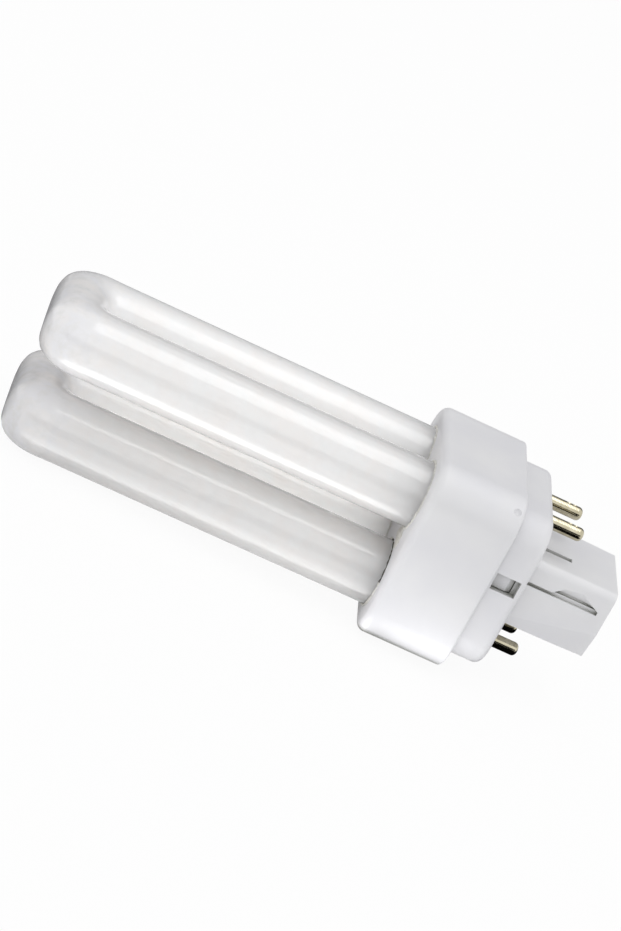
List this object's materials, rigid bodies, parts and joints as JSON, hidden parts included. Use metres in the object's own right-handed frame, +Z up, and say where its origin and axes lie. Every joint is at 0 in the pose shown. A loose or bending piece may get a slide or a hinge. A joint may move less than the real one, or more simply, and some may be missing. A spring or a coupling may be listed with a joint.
{
  "type": "u shaped fluorescent bulb",
  "caption": "Plug-in compact fluorescent lamp with white U-shaped glass tubes in a square plastic collar, and a plug cap with a central post between paired brass contact pins.",
  "frame": {"origin": "on the lamp axis, in the cap face that the contact pins leave", "axes": "+X along the lamp axis from the tube tips to the post, +Z up, with the lamp lying on the flat of its collar"},
  "size_m": [0.1081, 0.0344, 0.0344],
  "materials": {
    "coated_glass": "glossy, white phosphor coat inside clear glass",
    "white_plastic": "satin moulded polyester",
    "cement": "matt white setting cement",
    "pin_brass": "turned and lightly polished",
    "lead_metal": "drawn nickel-plated wire"
  },
  "bodies": {
    "root": {"glass_vessel": "coated_glass", "collar_shell": "white_plastic", "base_cap": "white_plastic", "tube_cement": "cement", "contact_pin_1": "pin_brass", "contact_pin_2": "pin_brass", "contact_pin_3": "pin_brass", "contact_pin_4": "pin_brass", "lead_wire_1": "lead_metal", "lead_wire_2": "lead_metal", "lead_wire_3": "lead_metal", "lead_wire_4": "lead_metal"}
  },
  "joints": []
}
